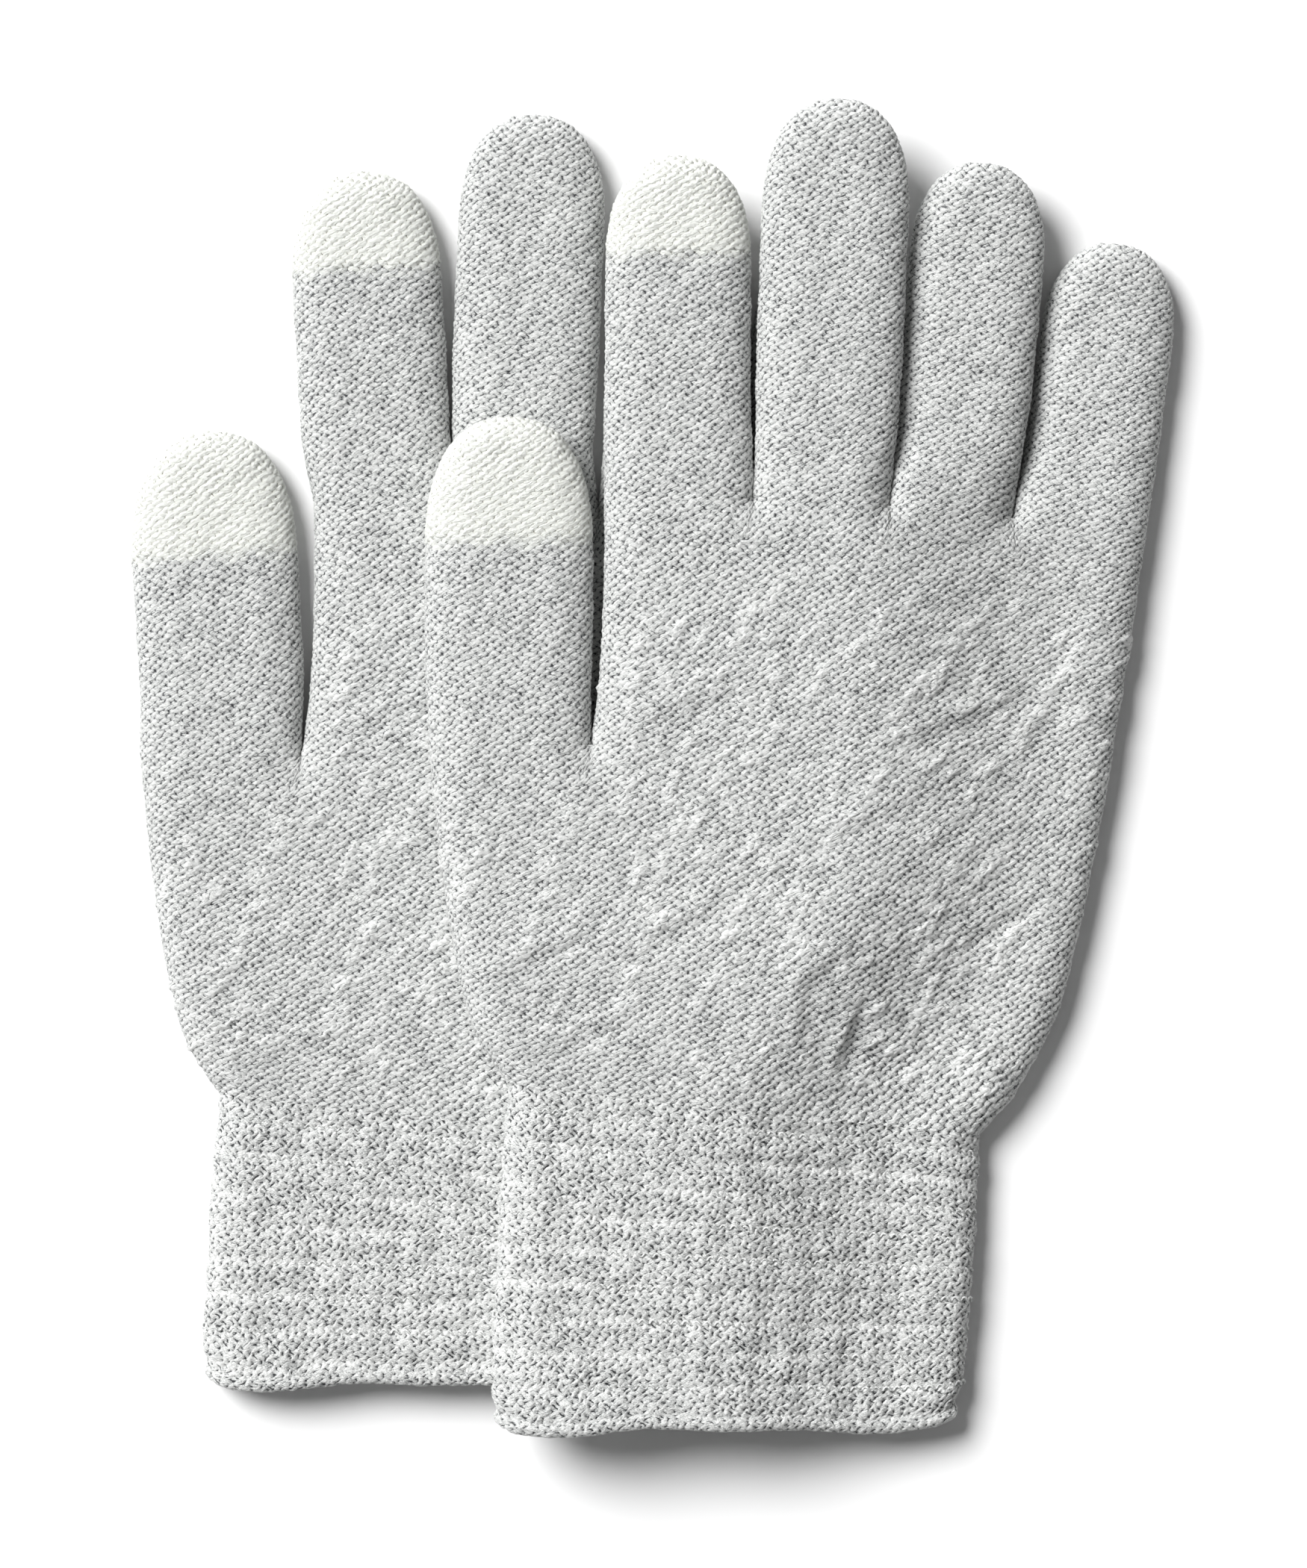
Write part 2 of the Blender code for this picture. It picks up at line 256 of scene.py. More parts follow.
class Numbers:
    """The arithmetic of a stitch on arrays."""
    floor = staticmethod(np.floor)
    sin = staticmethod(np.sin)
    absolute = staticmethod(np.abs)
    largest = staticmethod(np.maximum)

    @staticmethod
    def above(value, other):
        return (value > other).astype(float)

    @staticmethod
    def power(base, exponent):
        return np.power(np.maximum(base, 0.0), exponent)


class Term:
    """A value in a shader's node tree, which can be added, multiplied and so on like a number."""

    def __init__(self, tree, socket):
        self.tree = tree
        self.socket = socket

    def maths(self, operation, *others):
        node = self.tree.nodes.new("ShaderNodeMath")
        node.operation = operation
        for place, value in enumerate((self,) + others):
            if isinstance(value, Term):
                self.tree.links.new(value.socket, node.inputs[place])
            else:
                node.inputs[place].default_value = value
        return Term(self.tree, node.outputs[0])

    def __add__(self, other):
        return self.maths("ADD", other)

    __radd__ = __add__

    def __sub__(self, other):
        return self.maths("SUBTRACT", other)

    def __rsub__(self, other):
        return (self * -1.0) + other

    def __mul__(self, other):
        return self.maths("MULTIPLY", other)

    __rmul__ = __mul__

    def __truediv__(self, other):
        return self.maths("DIVIDE", other)

    def between(self, low, high):
        """0 below low, 1 above high, and smooth in between."""
        node = self.tree.nodes.new("ShaderNodeMapRange")
        node.interpolation_type = "SMOOTHSTEP"
        node.inputs["From Min"].default_value = low
        node.inputs["From Max"].default_value = high
        self.tree.links.new(self.socket, node.inputs["Value"])
        return Term(self.tree, node.outputs["Result"])


class NodeMaths:
    """The arithmetic of a stitch on shader nodes."""

    @staticmethod
    def floor(value):
        return value.maths("FLOOR")

    @staticmethod
    def sin(value):
        return value.maths("SINE")

    @staticmethod
    def absolute(value):
        return value.maths("ABSOLUTE")

    @staticmethod
    def power(base, exponent):
        return base.maths("MAXIMUM", 0.0).maths("POWER", exponent)

    @staticmethod
    def largest(value, other):
        return value.maths("MAXIMUM", other)

    @staticmethod
    def above(value, other):
        return value.maths("GREATER_THAN", other)


def drawn_off(u, v, maths, loose):
    """The knit's own coordinates with the slight waver of hand-laid yarn."""
    new_u = u + 0.24 * maths.sin(v * 0.47 + 1.3) + loose * maths.sin(v * 2.13 + u * 0.91)
    new_u = new_u + loose * maths.sin(v * 3.7 - u * 1.3 + 0.7)
    new_v = v + 0.17 * maths.sin(u * 0.83 + 0.4) + 0.6 * loose * maths.sin(u * 2.3 + v * 0.87)
    new_v = new_v + 0.5 * loose * maths.sin(u * 4.1 - v * 1.9 + 2.0)
    return new_u, new_v


def lens(u, v, maths, odd, wale, course, rise, arch):
    """Every second course of stitches as lens shapes: height from 0 to 1, and each stitch's own numbers."""
    column = maths.floor(u / wale + 0.5 * odd)
    across = 2.0 * (u / wale + 0.5 * odd - column) - 1.0
    level = v / course - 0.5 * rise * across + arch * across * across - odd
    pair = maths.floor(level / 2.0 + 0.5)
    along = (level - 2.0 * pair) / STITCH_HALF
    height = maths.power(1.0 - maths.power(maths.absolute(across), 2.6) - along * along, 0.7)
    return height, column, 2.0 * pair + odd


def stitches(u, v, maths, wale, course, rise, arch, loose):
    """Lens-shaped stitches laid like bricks: height from 0 to 1, and the stitch's own column and row."""
    u, v = drawn_off(u, v, maths, loose)
    even, even_column, even_row = lens(u, v, maths, 0.0, wale, course, rise, arch)
    odd, odd_column, odd_row = lens(u, v, maths, 1.0, wale, course, rise, arch)
    is_odd = maths.above(odd, even)
    column = even_column + is_odd * (odd_column - even_column)
    row = even_row + is_odd * (odd_row - even_row)
    return maths.largest(even, odd), column, row


def plain_stitch(u, v, maths, raised):
    """The knit face, looser where it is raised."""
    return stitches(u, v, maths, WALE, COURSE, STITCH_RISE, 0.0, 0.16 + 0.20 * raised)


def purl_stitch(u, v, maths):
    """The cuff's face, of loops whose ends hang down."""
    return stitches(u, v, maths, CUFF_WALE, CUFF_COURSE, CUFF_RISE, CUFF_ARCH, 0.27)


def smoothstep(value):
    value = np.clip(value, 0.0, 1.0)
    return value * value * (3.0 - 2.0 * value)


def soft_noise(x, y, seed):
    """Smooth noise from -1 to 1 with one bump to each unit."""
    table = np.random.default_rng(seed).random((64, 64)) * 2.0 - 1.0
    column = np.floor(x).astype(int)
    row = np.floor(y).astype(int)
    part_x = smoothstep(x - column)
    part_y = smoothstep(y - row)

    def corner(dx, dy):
        return table[(row + dy) % 64, (column + dx) % 64]

    low = corner(0, 0) * (1 - part_x) + corner(1, 0) * part_x
    high = corner(0, 1) * (1 - part_x) + corner(1, 1) * part_x
    return low * (1 - part_y) + high * part_y


def puckers(u, v, seed):
    """Raised chains of tight stitches that climb to the right."""
    along = u * math.cos(PUCKER_LEAN) + v * math.sin(PUCKER_LEAN)
    across = v * math.cos(PUCKER_LEAN) - u * math.sin(PUCKER_LEAN)
    chain = soft_noise(along / PUCKER_LENGTH, across / PUCKER_WIDTH, seed)
    lump = soft_noise(u / PUCKER_LUMP, v / PUCKER_LUMP, seed + 1)
    return PUCKER_HEIGHT * (0.62 * chain + 0.38 * lump)


def knots(x, y):
    """Raised knots strung along the chains, from 0 to 1."""
    height = np.zeros_like(x)
    for start_x, start_y, end_x, end_y in CHAINS:
        count = round(math.hypot(end_x - start_x, end_y - start_y) / KNOT_SPACING)
        for place in range(count + 1):
            share = place / count
            sway = KNOT_SWAY * math.sin(2.3 * place + start_x)
            dx = x - (start_x + (end_x - start_x) * share + sway)
            dy = y - (start_y + (end_y - start_y) * share - 0.4 * sway)
            along = (dx * math.cos(KNOT_LEAN) + dy * math.sin(KNOT_LEAN)) / KNOT_LENGTH
            across = (dy * math.cos(KNOT_LEAN) - dx * math.sin(KNOT_LEAN)) / KNOT_WIDTH
            height = height + np.exp(-(along ** 4) - across ** 2)
    rough = 0.75 + 0.5 * soft_noise(x / 1.3, y / 0.9, KNOT_SEED)
    return np.minimum(height, 1.0) * rough


def raised_knit(x, y, seed):
    """How far the hand's knit is raised in knots and lumps, from 0 to 1, fading out towards the digits."""
    along = x * math.cos(PUCKER_LEAN) + y * math.sin(PUCKER_LEAN)
    across = y * math.cos(PUCKER_LEAN) - x * math.sin(PUCKER_LEAN)
    lumps = smoothstep((soft_noise(along / LUMP_LENGTH, across / LUMP_WIDTH, seed + 3) - 0.15) / 0.70)
    patches = smoothstep((soft_noise(x / PATCH_LENGTH, y / PATCH_WIDTH, seed + 5) + 0.40) / 0.55)
    from_fingers = smoothstep((RAISED_END_Y - y) / RAISED_FADE)
    thumb_distance = np.hypot(x - THUMB_ROOT_X, y - THUMB_CROTCH_Y)
    from_thumb = smoothstep((thumb_distance - THUMB_CLEAR) / THUMB_FADE)
    return np.maximum(knots(x, y), LUMP_HEIGHT * lumps * patches) * from_fingers * from_thumb


def folds(x, y, strength):
    """Soft folds in the hand, each a ridge with a dip beside it."""
    height = np.zeros_like(x)
    for fold_x, fold_y, direction, length, width, rise in FOLDS:
        angle = math.radians(direction)
        along = (x - fold_x) * math.cos(angle) + (y - fold_y) * math.sin(angle)
        across = (y - fold_y) * math.cos(angle) - (x - fold_x) * math.sin(angle)
        across = across + 0.8 * np.sin(along / 4.0)
        ridge = np.exp(-(across / width) ** 2) - 0.7 * np.exp(-((across + 2.0 * width) / width) ** 2)
        height = height + strength * rise * ridge * np.exp(-(along / length) ** 2)
    return height


# ---------------------------------------------------------------------------------------------------------
# Tubes of knitting
# ---------------------------------------------------------------------------------------------------------

def rounded(distance, rim):
    """Share of the full height at a distance from the edge."""
    part = 1.0 - np.clip(distance / rim, 0.0, 1.0)
    return np.power(np.maximum(1.0 - part ** RIM_POWER, 0.0), 1.0 / RIM_POWER)


def face(width, rise, rim, count):
    """Even points along a section's face: share of the width, arc length from the middle, whole length."""
    turn = np.linspace(0.0, math.pi, 241)
    across = width * (1.0 - np.cos(turn)) / 2.0
    height = rise * rounded(np.minimum(across, width - across), rim)
    steps = np.hypot(np.diff(across), np.diff(height))
    arc = np.concatenate(([0.0], np.cumsum(steps)))
    wanted = np.linspace(0.0, arc[-1], count)
    share = np.interp(wanted, arc, across) / max(width, 1e-6)
    return share, wanted - arc[-1] / 2.0, arc[-1]


def face_length(width, rise, rim):
    return face(width, rise, rim, 3)[2]


class Ring:
    """One section of a tube: its two sides, its height, and its columns on the upper and lower face."""

    def __init__(self, left, right, height, v, upper_count, lower_count, inset=0.0):
        self.left = np.array(left, float)
        self.right = np.array(right, float)
        self.v = v
        chord = self.right - self.left
        self.width = float(np.hypot(*chord))
        self.direction = chord / max(self.width, 1e-6)
        inset = min(inset, 0.45 * self.width)
        self.left = self.left + self.direction * inset
        self.right = self.right - self.direction * inset
        self.width = self.width - 2.0 * inset
        height = height - 2.0 * min(inset, 0.3 * height)
        self.rise = height * (1.0 - MIDDLE_UP)
        self.drop = height * MIDDLE_UP
        self.upper, upper_arc, upper_length = face(self.width, self.rise, RIM, upper_count)
        self.lower, lower_arc, lower_length = face(self.width, self.drop, RIM_LOW, lower_count)
        middle = (self.left[0] + self.right[0]) / 2.0
        self.upper_u = middle + upper_arc
        self.lower_u = middle + lower_arc * (upper_length / max(lower_length, 1e-6))

    def places(self, shares):
        return self.left[None, :] + (self.right - self.left)[None, :] * shares[:, None]

    def surface(self, pinches=(), bent=None):
        """Planar places, heights from the widest level and knit columns, in order round the ring."""
        result = []
        for which, shares, u, size, rim, sign in (
            ("upper", self.upper, self.upper_u, self.rise, RIM, 1.0),
            ("lower", self.lower, self.lower_u, self.drop, RIM_LOW, -1.0),
        ):
            places = self.places(shares)
            if bent:
                places = places + bent[which]
            edge = np.minimum(shares, 1.0 - shares) * self.width
            for pinch in pinches:
                edge = np.minimum(edge, np.hypot(places[:, 0] - pinch[0], places[:, 1] - pinch[1]))
            result.append((places, sign * size * rounded(edge, rim), u))
        (upper, upper_z, upper_u), (lower, lower_z, lower_u) = result
        back = slice(-2, 0, -1)
        places = np.concatenate((upper, lower[back]))
        heights = np.concatenate((upper_z, lower_z[back]))
        columns = np.concatenate((upper_u, lower_u[back]))
        return places, heights, columns


class Tube:
    """A grid of points round and along a tube, with each point's place in the knitting."""

    def __init__(self, points, knit, levels):
        self.points = points      # rows, columns, xyz
        raised = np.zeros(knit.shape[:2] + (1,))
        self.knit = np.concatenate((knit, raised), axis=2)      # rows, columns: u, v and how far raised
        self.levels = levels      # distance along the tube of every row

    def normals(self):
        across = np.roll(self.points, -1, axis=1) - np.roll(self.points, 1, axis=1)
        along = np.gradient(self.points, axis=0)
        normal = np.cross(across, along)
        size = np.linalg.norm(normal, axis=2, keepdims=True)
        return normal / np.maximum(size, 1e-9)

    def press(self, height):
        self.points = self.points + self.normals() * height[:, :, None]

    def row_at(self, level):
        return int(np.argmin(np.abs(self.levels - level)))


def top_glove_height(x, y):
    """How high the upper glove lies: over the lower glove on the left, down to the table on the right."""
    x = x - PAIR_CENTRE[0]
    y = y - PAIR_CENTRE[1]
    edge = SAG_X_CUFF + (SAG_X_HAND - SAG_X_CUFF) * smoothstep((y - SAG_Y_CUFF) / (SAG_Y_HAND - SAG_Y_CUFF))
    return TOP_LIFT * (1.0 - smoothstep((x - edge) / SAG_RUN))


def knuckle_y(x):
    return KNUCKLE_Y - KNUCKLE_DROP * (x - KNUCKLE_X) ** 2


def outline(rows, share):
    """The two sides of the hand at a share of the way, on a smooth curve through the outline's rows."""
    table = np.array(rows)
    sides = []
    for column in range(1, 5):
        values = table[:, column]
        slopes = np.gradient(values, table[:, 0])
        place = min(int(np.searchsorted(table[:, 0], share, side="right")) - 1, len(values) - 2)
        place = max(place, 0)
        run = table[place + 1, 0] - table[place, 0]
        t = (share - table[place, 0]) / run
        sides.append(
            (1 + 2 * t) * (1 - t) ** 2 * values[place]
            + t * (1 - t) ** 2 * run * slopes[place]
            + t * t * (3 - 2 * t) * values[place + 1]
            + t * t * (t - 1) * run * slopes[place + 1]
        )
    return (sides[0], sides[1]), (sides[2], sides[3])


class Glove:
    """All the tubes of one glove in the design's own place, before it is moved to where it lies."""

    def __init__(self, name):
        self.name = name
        self.is_top = name == "top"
        self.counts = {}
        for digit, sizes in DIGITS.items():
            width = sizes["root"][1] - sizes["root"][0]
            upper = face_length(width, HAND_HEIGHT * (1.0 - MIDDLE_UP), RIM)
            lower = face_length(width, HAND_HEIGHT * MIDDLE_UP, RIM_LOW)
            self.counts[digit] = (round(upper / STEP_ACROSS), round(lower / STEP_HIDDEN))

    def lift(self, places):
        """Height of the surface that the glove lies on, at planar places in the design."""
        if not self.is_top:
            return np.zeros(places.shape[:-1])
        return top_glove_height(places[..., 0], places[..., 1])

    def root(self, digit):
        left, right = DIGITS[digit]["root"]
        if digit == "thumb":
            return (left, THUMB_CROTCH_Y), (right, THUMB_CROTCH_Y)
        return (left, knuckle_y(left)), (right, knuckle_y(right))

    def digit_levels(self, digit):
        """Distances along a digit, closer together round the dome of its tip."""
        length = DIGITS[digit]["length"]
        dome = DOME_START * self.full_width(digit)
        straight = np.arange(0.0, length - dome, STEP_ALONG)
        turns = round(dome * math.pi / 2.0 / STEP_ALONG)
        angle = np.linspace(0.0, math.pi / 2.0, turns + 1)[:-1]
        return np.concatenate((straight, length - dome + dome * np.sin(angle)))

    def full_width(self, digit):
        return DIGITS[digit]["full"] if self.is_top else UNDER_LIE[digit][2]

    def digit_ring(self, digit, level, inset=0.0):
        sizes = DIGITS[digit]
        drift, lean = (sizes["drift"], sizes["lean"]) if self.is_top else UNDER_LIE[digit][:2]
        lean = math.radians(lean)
        left, right = (np.array(side) for side in self.root(digit))
        chord = right - left
        root_width = float(np.hypot(*chord))
        full = self.full_width(digit)
        settle = float(smoothstep(level / SETTLE))
        centre = (left + right) / 2.0 + np.array((math.sin(lean), math.cos(lean))) * level
        centre = centre + np.array((drift * settle, 0.0))
        across = chord / root_width * (1.0 - settle) + np.array((math.cos(lean), -math.sin(lean))) * settle
        across = across / np.hypot(*across)
        width = root_width + (full - root_width) * float(smoothstep(level / (WIDEST_AT * sizes["length"])))
        dome = DOME_START * full
        dome_share = min(max((level - (sizes["length"] - dome)) / dome, 0.0), 1.0)
        width = width * (1.0 - dome_share ** DOME_POWER) ** (1.0 / DOME_POWER)
        height = HAND_HEIGHT + (DIGIT_HEIGHT - HAND_HEIGHT) * settle
        height = height * float(rounded(np.array(sizes["length"] - level), TIP_ROUND))
        base = THUMB_V if digit == "thumb" else KNUCKLE_V
        upper, lower = self.counts[digit]
        half = across * width / 2.0
        ring = Ring(centre - half, centre + half, height, base + level, upper, lower, inset)
        shift = (left[0] + right[0]) / 2.0 - centre[0]
        ring.upper_u = ring.upper_u + shift
        ring.lower_u = ring.lower_u + shift
        return ring

    def digit_grid(self, digit, levels, inset=0.0):
        points, knit = [], []
        for level in levels:
            ring = self.digit_ring(digit, level, inset)
            places, heights, columns = ring.surface()
            settle = float(smoothstep(level / SETTLE))
            final = DIGIT_LIFT[digit] * TOP_LIFT if self.is_top else 0.0
            lift = self.lift(places) * (1.0 - settle) + final * settle
            middle = HAND_HEIGHT * MIDDLE_UP * (1.0 - settle) + DIGIT_HEIGHT * MIDDLE_UP * settle
            points.append(np.column_stack((places, heights + lift + middle)))
            knit.append(np.column_stack((columns, np.full(len(columns), ring.v))))
        return Tube(np.array(points), np.array(knit), np.array(levels))

    def hand_grid(self, shape, shares, groups, base, inset=0.0):
        """A stretch of the hand whose last ring is the roots of what branches off it."""
        v_start, v_end = base
        last = [group(inset) for group in groups]
        upper_count = sum(len(ring.upper) for ring in last)
        lower_count = sum(len(ring.lower) for ring in last)
        last_upper_u = np.concatenate([ring.upper_u for ring in last])
        last_lower_u = np.concatenate([ring.lower_u for ring in last])
        pinches = [tuple((a.right + b.left) / 2.0) for a, b in zip(last[:-1], last[1:])]
        start, chord = last[0].left, last[-1].right - last[0].left
        bow = {}
        for which in ("upper", "lower"):
            places = np.concatenate([ring.places(getattr(ring, which)) for ring in last])
            share_across = (places[:, 0] - start[0]) / chord[0]
            bow[which] = places - (start[None, :] + chord[None, :] * share_across[:, None])
        points, knit = [], []
        for share in shares:
            left, right = outline(shape, share)
            v = v_start + (v_end - v_start) * share
            ring = Ring(left, right, HAND_HEIGHT, v, upper_count, lower_count, inset)
            merge = float(smoothstep(1.0 - (v_end - v) / MERGE_RUN))
            if len(last) > 1 or merge > 0.0:
                ring.upper = self.merged(ring.upper, last, "upper", ring, merge)
                ring.lower = self.merged(ring.lower, last, "lower", ring, merge)
                ring.upper_u = ring.upper_u * (1.0 - merge) + merge * last_upper_u
                ring.lower_u = ring.lower_u * (1.0 - merge) + merge * last_lower_u
            bent = {which: offset * share * share for which, offset in bow.items()}
            places, heights, columns = ring.surface(pinches, bent)
            points.append(np.column_stack((places, heights + self.lift(places) + HAND_HEIGHT * MIDDLE_UP)))
            knit.append(np.column_stack((columns, np.full(len(columns), v))))
        return Tube(np.array(points), np.array(knit), v_start + (v_end - v_start) * np.array(shares))

    @staticmethod
    def merged(even, rings, which, whole, amount):
        """Even columns that draw together into the columns of the branches near the end."""
        if amount <= 0.0:
            return even
        shares = []
        start, end = rings[0].left[0], rings[-1].right[0]
        for ring in rings:
            x = ring.places(getattr(ring, which))[:, 0]
            shares.append((x - start) / (end - start))
        return even * (1.0 - amount) + np.concatenate(shares) * amount

    def four_finger_groups(self):
        return [lambda inset, d=digit: self.digit_ring(d, 0.0, inset) for digit in FINGERS]

    def knuckle_start(self, inset):
        upper = sum(self.counts[digit][0] for digit in FINGERS)
        lower = sum(self.counts[digit][1] for digit in FINGERS)
        left, right = outline(THUMB_TO_KNUCKLES, 0.0)
        return Ring(left, right, HAND_HEIGHT, THUMB_V, upper, lower, inset)

    def cuff_ring(self, share, inset=0.0):
        """A section of the cuff, from the wrist at 0 to the mouth at 1."""
        left, right = (np.array(side) for side in outline(WRIST_TO_THUMB, 0.0))
        length = CUFF_LENGTH[self.name]
        middle = (left + right) / 2.0 + np.array((CUFF_DRIFT * share, -length * share))
        half = (right - left) / 2.0
        draw_in = DRAW_IN * float(smoothstep((share - DRAW_IN_FROM) / (1.0 - DRAW_IN_FROM)))
        belly = CUFF_BELLY * math.sin(math.pi * share) - draw_in
        half = np.array((half[0] + belly, half[1] * (1.0 - share)))
        upper = sum(count[0] for count in self.counts.values())
        lower = sum(count[1] for count in self.counts.values())
        return Ring(middle - half, middle + half, HAND_HEIGHT, WRIST_V - length * share, upper, lower, inset)

    def cuff_grid(self, shares, inset=0.0):
        points, knit = [], []
        for share in shares:
            ring = self.cuff_ring(share, inset)
            places, heights, columns = ring.surface()
            points.append(np.column_stack((places, heights + self.lift(places) + HAND_HEIGHT * MIDDLE_UP)))
            knit.append(np.column_stack((columns, np.full(len(columns), ring.v))))
        return Tube(np.array(points), np.array(knit), CUFF_LENGTH[self.name] * np.array(shares))


def shares_of(length):
    return np.linspace(0.0, 1.0, round(length / STEP_ALONG) + 1)


def press_plain(tube, seed, fold_strength=0.0):
    """Presses the knit face's stitches, puckers and folds into a tube."""
    u, v = tube.knit[:, :, 0], tube.knit[:, :, 1]
    bulk = puckers(u, v, seed)
    if fold_strength:
        x, y = tube.points[:, :, 0], tube.points[:, :, 1]
        upper = tube.normals()[:, :, 2] > 0.0
        tube.knit[:, :, 2] = raised_knit(x, y, seed) * upper * smoothstep((v - WRIST_V) / WRIST_FADE)
        bulk = bulk + KNOT_HEIGHT * tube.knit[:, :, 2] + folds(x, y, fold_strength) * upper
    stitch, column, row = plain_stitch(u, v, Numbers, tube.knit[:, :, 2])
    loose = soft_noise(column * 0.83 + 0.5, row * 0.71 + 0.5, seed + 7)
    tube.press(bulk + STITCH_DEPTH * (stitch - STITCH_LEVEL) * (1.0 + STITCH_UNEVEN * loose))


def elastic_pull(v):
    """1 on an elastic course of the cuff, 0 halfway between two."""
    along = (WRIST_V - ELASTIC_FIRST - v) / ELASTIC_PITCH
    return 0.5 + 0.5 * np.cos(along * 2.0 * math.pi)


def hem_wave(u):
    """How the cuff's mouth waves along its rim, and draws back at its corners."""
    from_middle = np.abs(u - (u.min() + u.max()) / 2.0)
    corner = smoothstep((from_middle - CORNER_START) / CORNER_RUN)
    return HEM_WAVE * (np.sin(u / 8.5 + 0.6) + 0.6 * np.sin(u / 4.3 + 2.0)) + CORNER_DEPTH * corner


def mouth_pull(distance):
    """Share of the mouth's waving that reaches a distance up the cuff."""
    return smoothstep(1.0 - distance / MOUTH_RUN)


def press_purl(tube, seed):
    """Presses the cuff's loops, ribs and elastic courses into its tube, and waves its mouth."""
    u, v = tube.knit[:, :, 0], tube.knit[:, :, 1]
    stitch, column, row = purl_stitch(u, v, Numbers)
    loose = soft_noise(column * 0.83 + 0.5, row * 0.71 + 0.5, seed + 7)
    height = CUFF_DEPTH * (stitch - STITCH_LEVEL) * (1.0 + STITCH_UNEVEN * loose)
    height = height + CUFF_UNEVEN * soft_noise(u / 3.4, v / 1.9, seed)
    height = height - ELASTIC_DENT * elastic_pull(v) ** 3
    height = height + RIB_HEIGHT * np.sin(u * 2.0 * math.pi / RIB_WIDTH + 0.9 * np.sin(v / 6.0))
    tube.press(height)
    from_mouth = tube.levels - tube.levels[0]
    tube.points[:, :, 1] += mouth_pull(from_mouth)[:, None] * hem_wave(u[0])


# ---------------------------------------------------------------------------------------------------------
# Pieces
# ---------------------------------------------------------------------------------------------------------

class Skin:
    """Collects points and faces, with each point's place in the knitting."""

    def __init__(self):
        self.points, self.knit, self.faces = [], [], []
        self.total = 0

    def add(self, points, knit):
        rows, columns = points.shape[:2]
        self.points.append(points.reshape(-1, 3))
        self.knit.append(knit.reshape(-1, 3))
        start = self.total
        self.total += rows * columns
        return start + np.arange(rows * columns).reshape(rows, columns)

    def cover(self, index, flipped=False):
        """Faces between the rows of a grid that closes round its columns."""
        nxt = np.roll(index, -1, axis=1)
        corners = [index[:-1], nxt[:-1], nxt[1:], index[1:]]
        if flipped:
            corners.reverse()
        self.faces.extend(np.stack(corners, axis=-1).reshape(-1, 4).tolist())

    def cap(self, ring, points, knit, flipped=False):
        """Closes a small ring over a point in its middle."""
        middle = self.add(points.mean(axis=0).reshape(1, 1, 3), knit.mean(axis=0).reshape(1, 1, 3))[0, 0]
        for a, b in zip(ring, np.roll(ring, -1)):
            self.faces.append([int(b), int(a), int(middle)] if flipped else [int(a), int(b), int(middle)])

    def build(self, name, move):
        points = np.concatenate(self.points) + np.array(move)
        points[:, 2] = np.maximum(points[:, 2], LOWEST)
        mesh = bpy.data.meshes.new(name)
        mesh.from_pydata((points * MM).tolist(), [], self.faces)
        knit = np.concatenate(self.knit)
        mesh.attributes.new("knit", "FLOAT_VECTOR", "POINT").data.foreach_set("vector", knit.ravel())
        mesh.shade_smooth()
        mesh.set_sharp_from_angle(angle=RIM_ANGLE)
        mesh.update()
        piece = bpy.data.objects.new(name, mesh)
        bpy.context.scene.collection.objects.link(piece)
        return piece


def knitted_piece(name, outer, inner, first, last, move, closed_end=False):
    """One piece of a tube between two of its levels: outer face, inner face and the rims between them."""
    skin = Skin()
    a, b = outer.row_at(first), outer.row_at(last)
    index = skin.add(outer.points[a:b + 1], outer.knit[a:b + 1])
    skin.cover(index)
    inner_rows = (inner.levels >= first - 1e-6) & (inner.levels <= last + 1e-6)
    lining = skin.add(inner.points[inner_rows], inner.knit[inner_rows])
    skin.cover(lining, flipped=True)
    skin.cover(np.stack((lining[0], index[0])))
    if closed_end:
        skin.cap(index[-1], outer.points[b], outer.knit[b])
        skin.cap(lining[-1], inner.points[inner_rows][-1], inner.knit[inner_rows][-1], flipped=True)
    else:
        skin.cover(np.stack((index[-1], lining[-1])))
    return skin.build(name, move)


def inner_levels(levels, cuts):
    """Every few levels, and the levels where the tube is cut into pieces."""
    chosen = set(range(0, len(levels), INNER_EVERY))
    chosen.add(len(levels) - 1)
    for cut in cuts:
        chosen.add(int(np.argmin(np.abs(levels - cut))))
    return levels[sorted(chosen)]


def snapped(tube, level):
    return float(tube.levels[tube.row_at(level)])


def join_branches(hand, branches, counts):
    """Makes the last ring of the hand share its points with the first rings of its branches."""
    upper_total = sum(upper for upper, lower in counts)
    lower_total = sum(lower for upper, lower in counts)
    upper_start, lower_start = 0, 0
    for branch, (upper, lower) in zip(branches, counts):
        ring = branch.points[0]
        hand.points[-1, upper_start:upper_start + upper] = ring[:upper]
        for place in range(lower):
            whole = lower_start + place
            if not 0 < whole < lower_total - 1:
                continue
            if place == 0:
                source = 0
            elif place == lower - 1:
                source = upper - 1
            else:
                source = upper + lower - 2 - place
            hand.points[-1, upper_total + lower_total - 2 - whole] = ring[source]
        upper_start += upper
        lower_start += lower


def place_along(glove, digit, level, move):
    """The middle of a digit at a distance along it, in the frame's metres."""
    ring = glove.digit_ring(digit, level)
    middle = (ring.left + ring.right) / 2.0
    height = DIGIT_HEIGHT + (DIGIT_LIFT[digit] * TOP_LIFT if glove.is_top else 0.0)
    return tuple((np.array((middle[0], middle[1], height)) + np.array(move)) * MM)


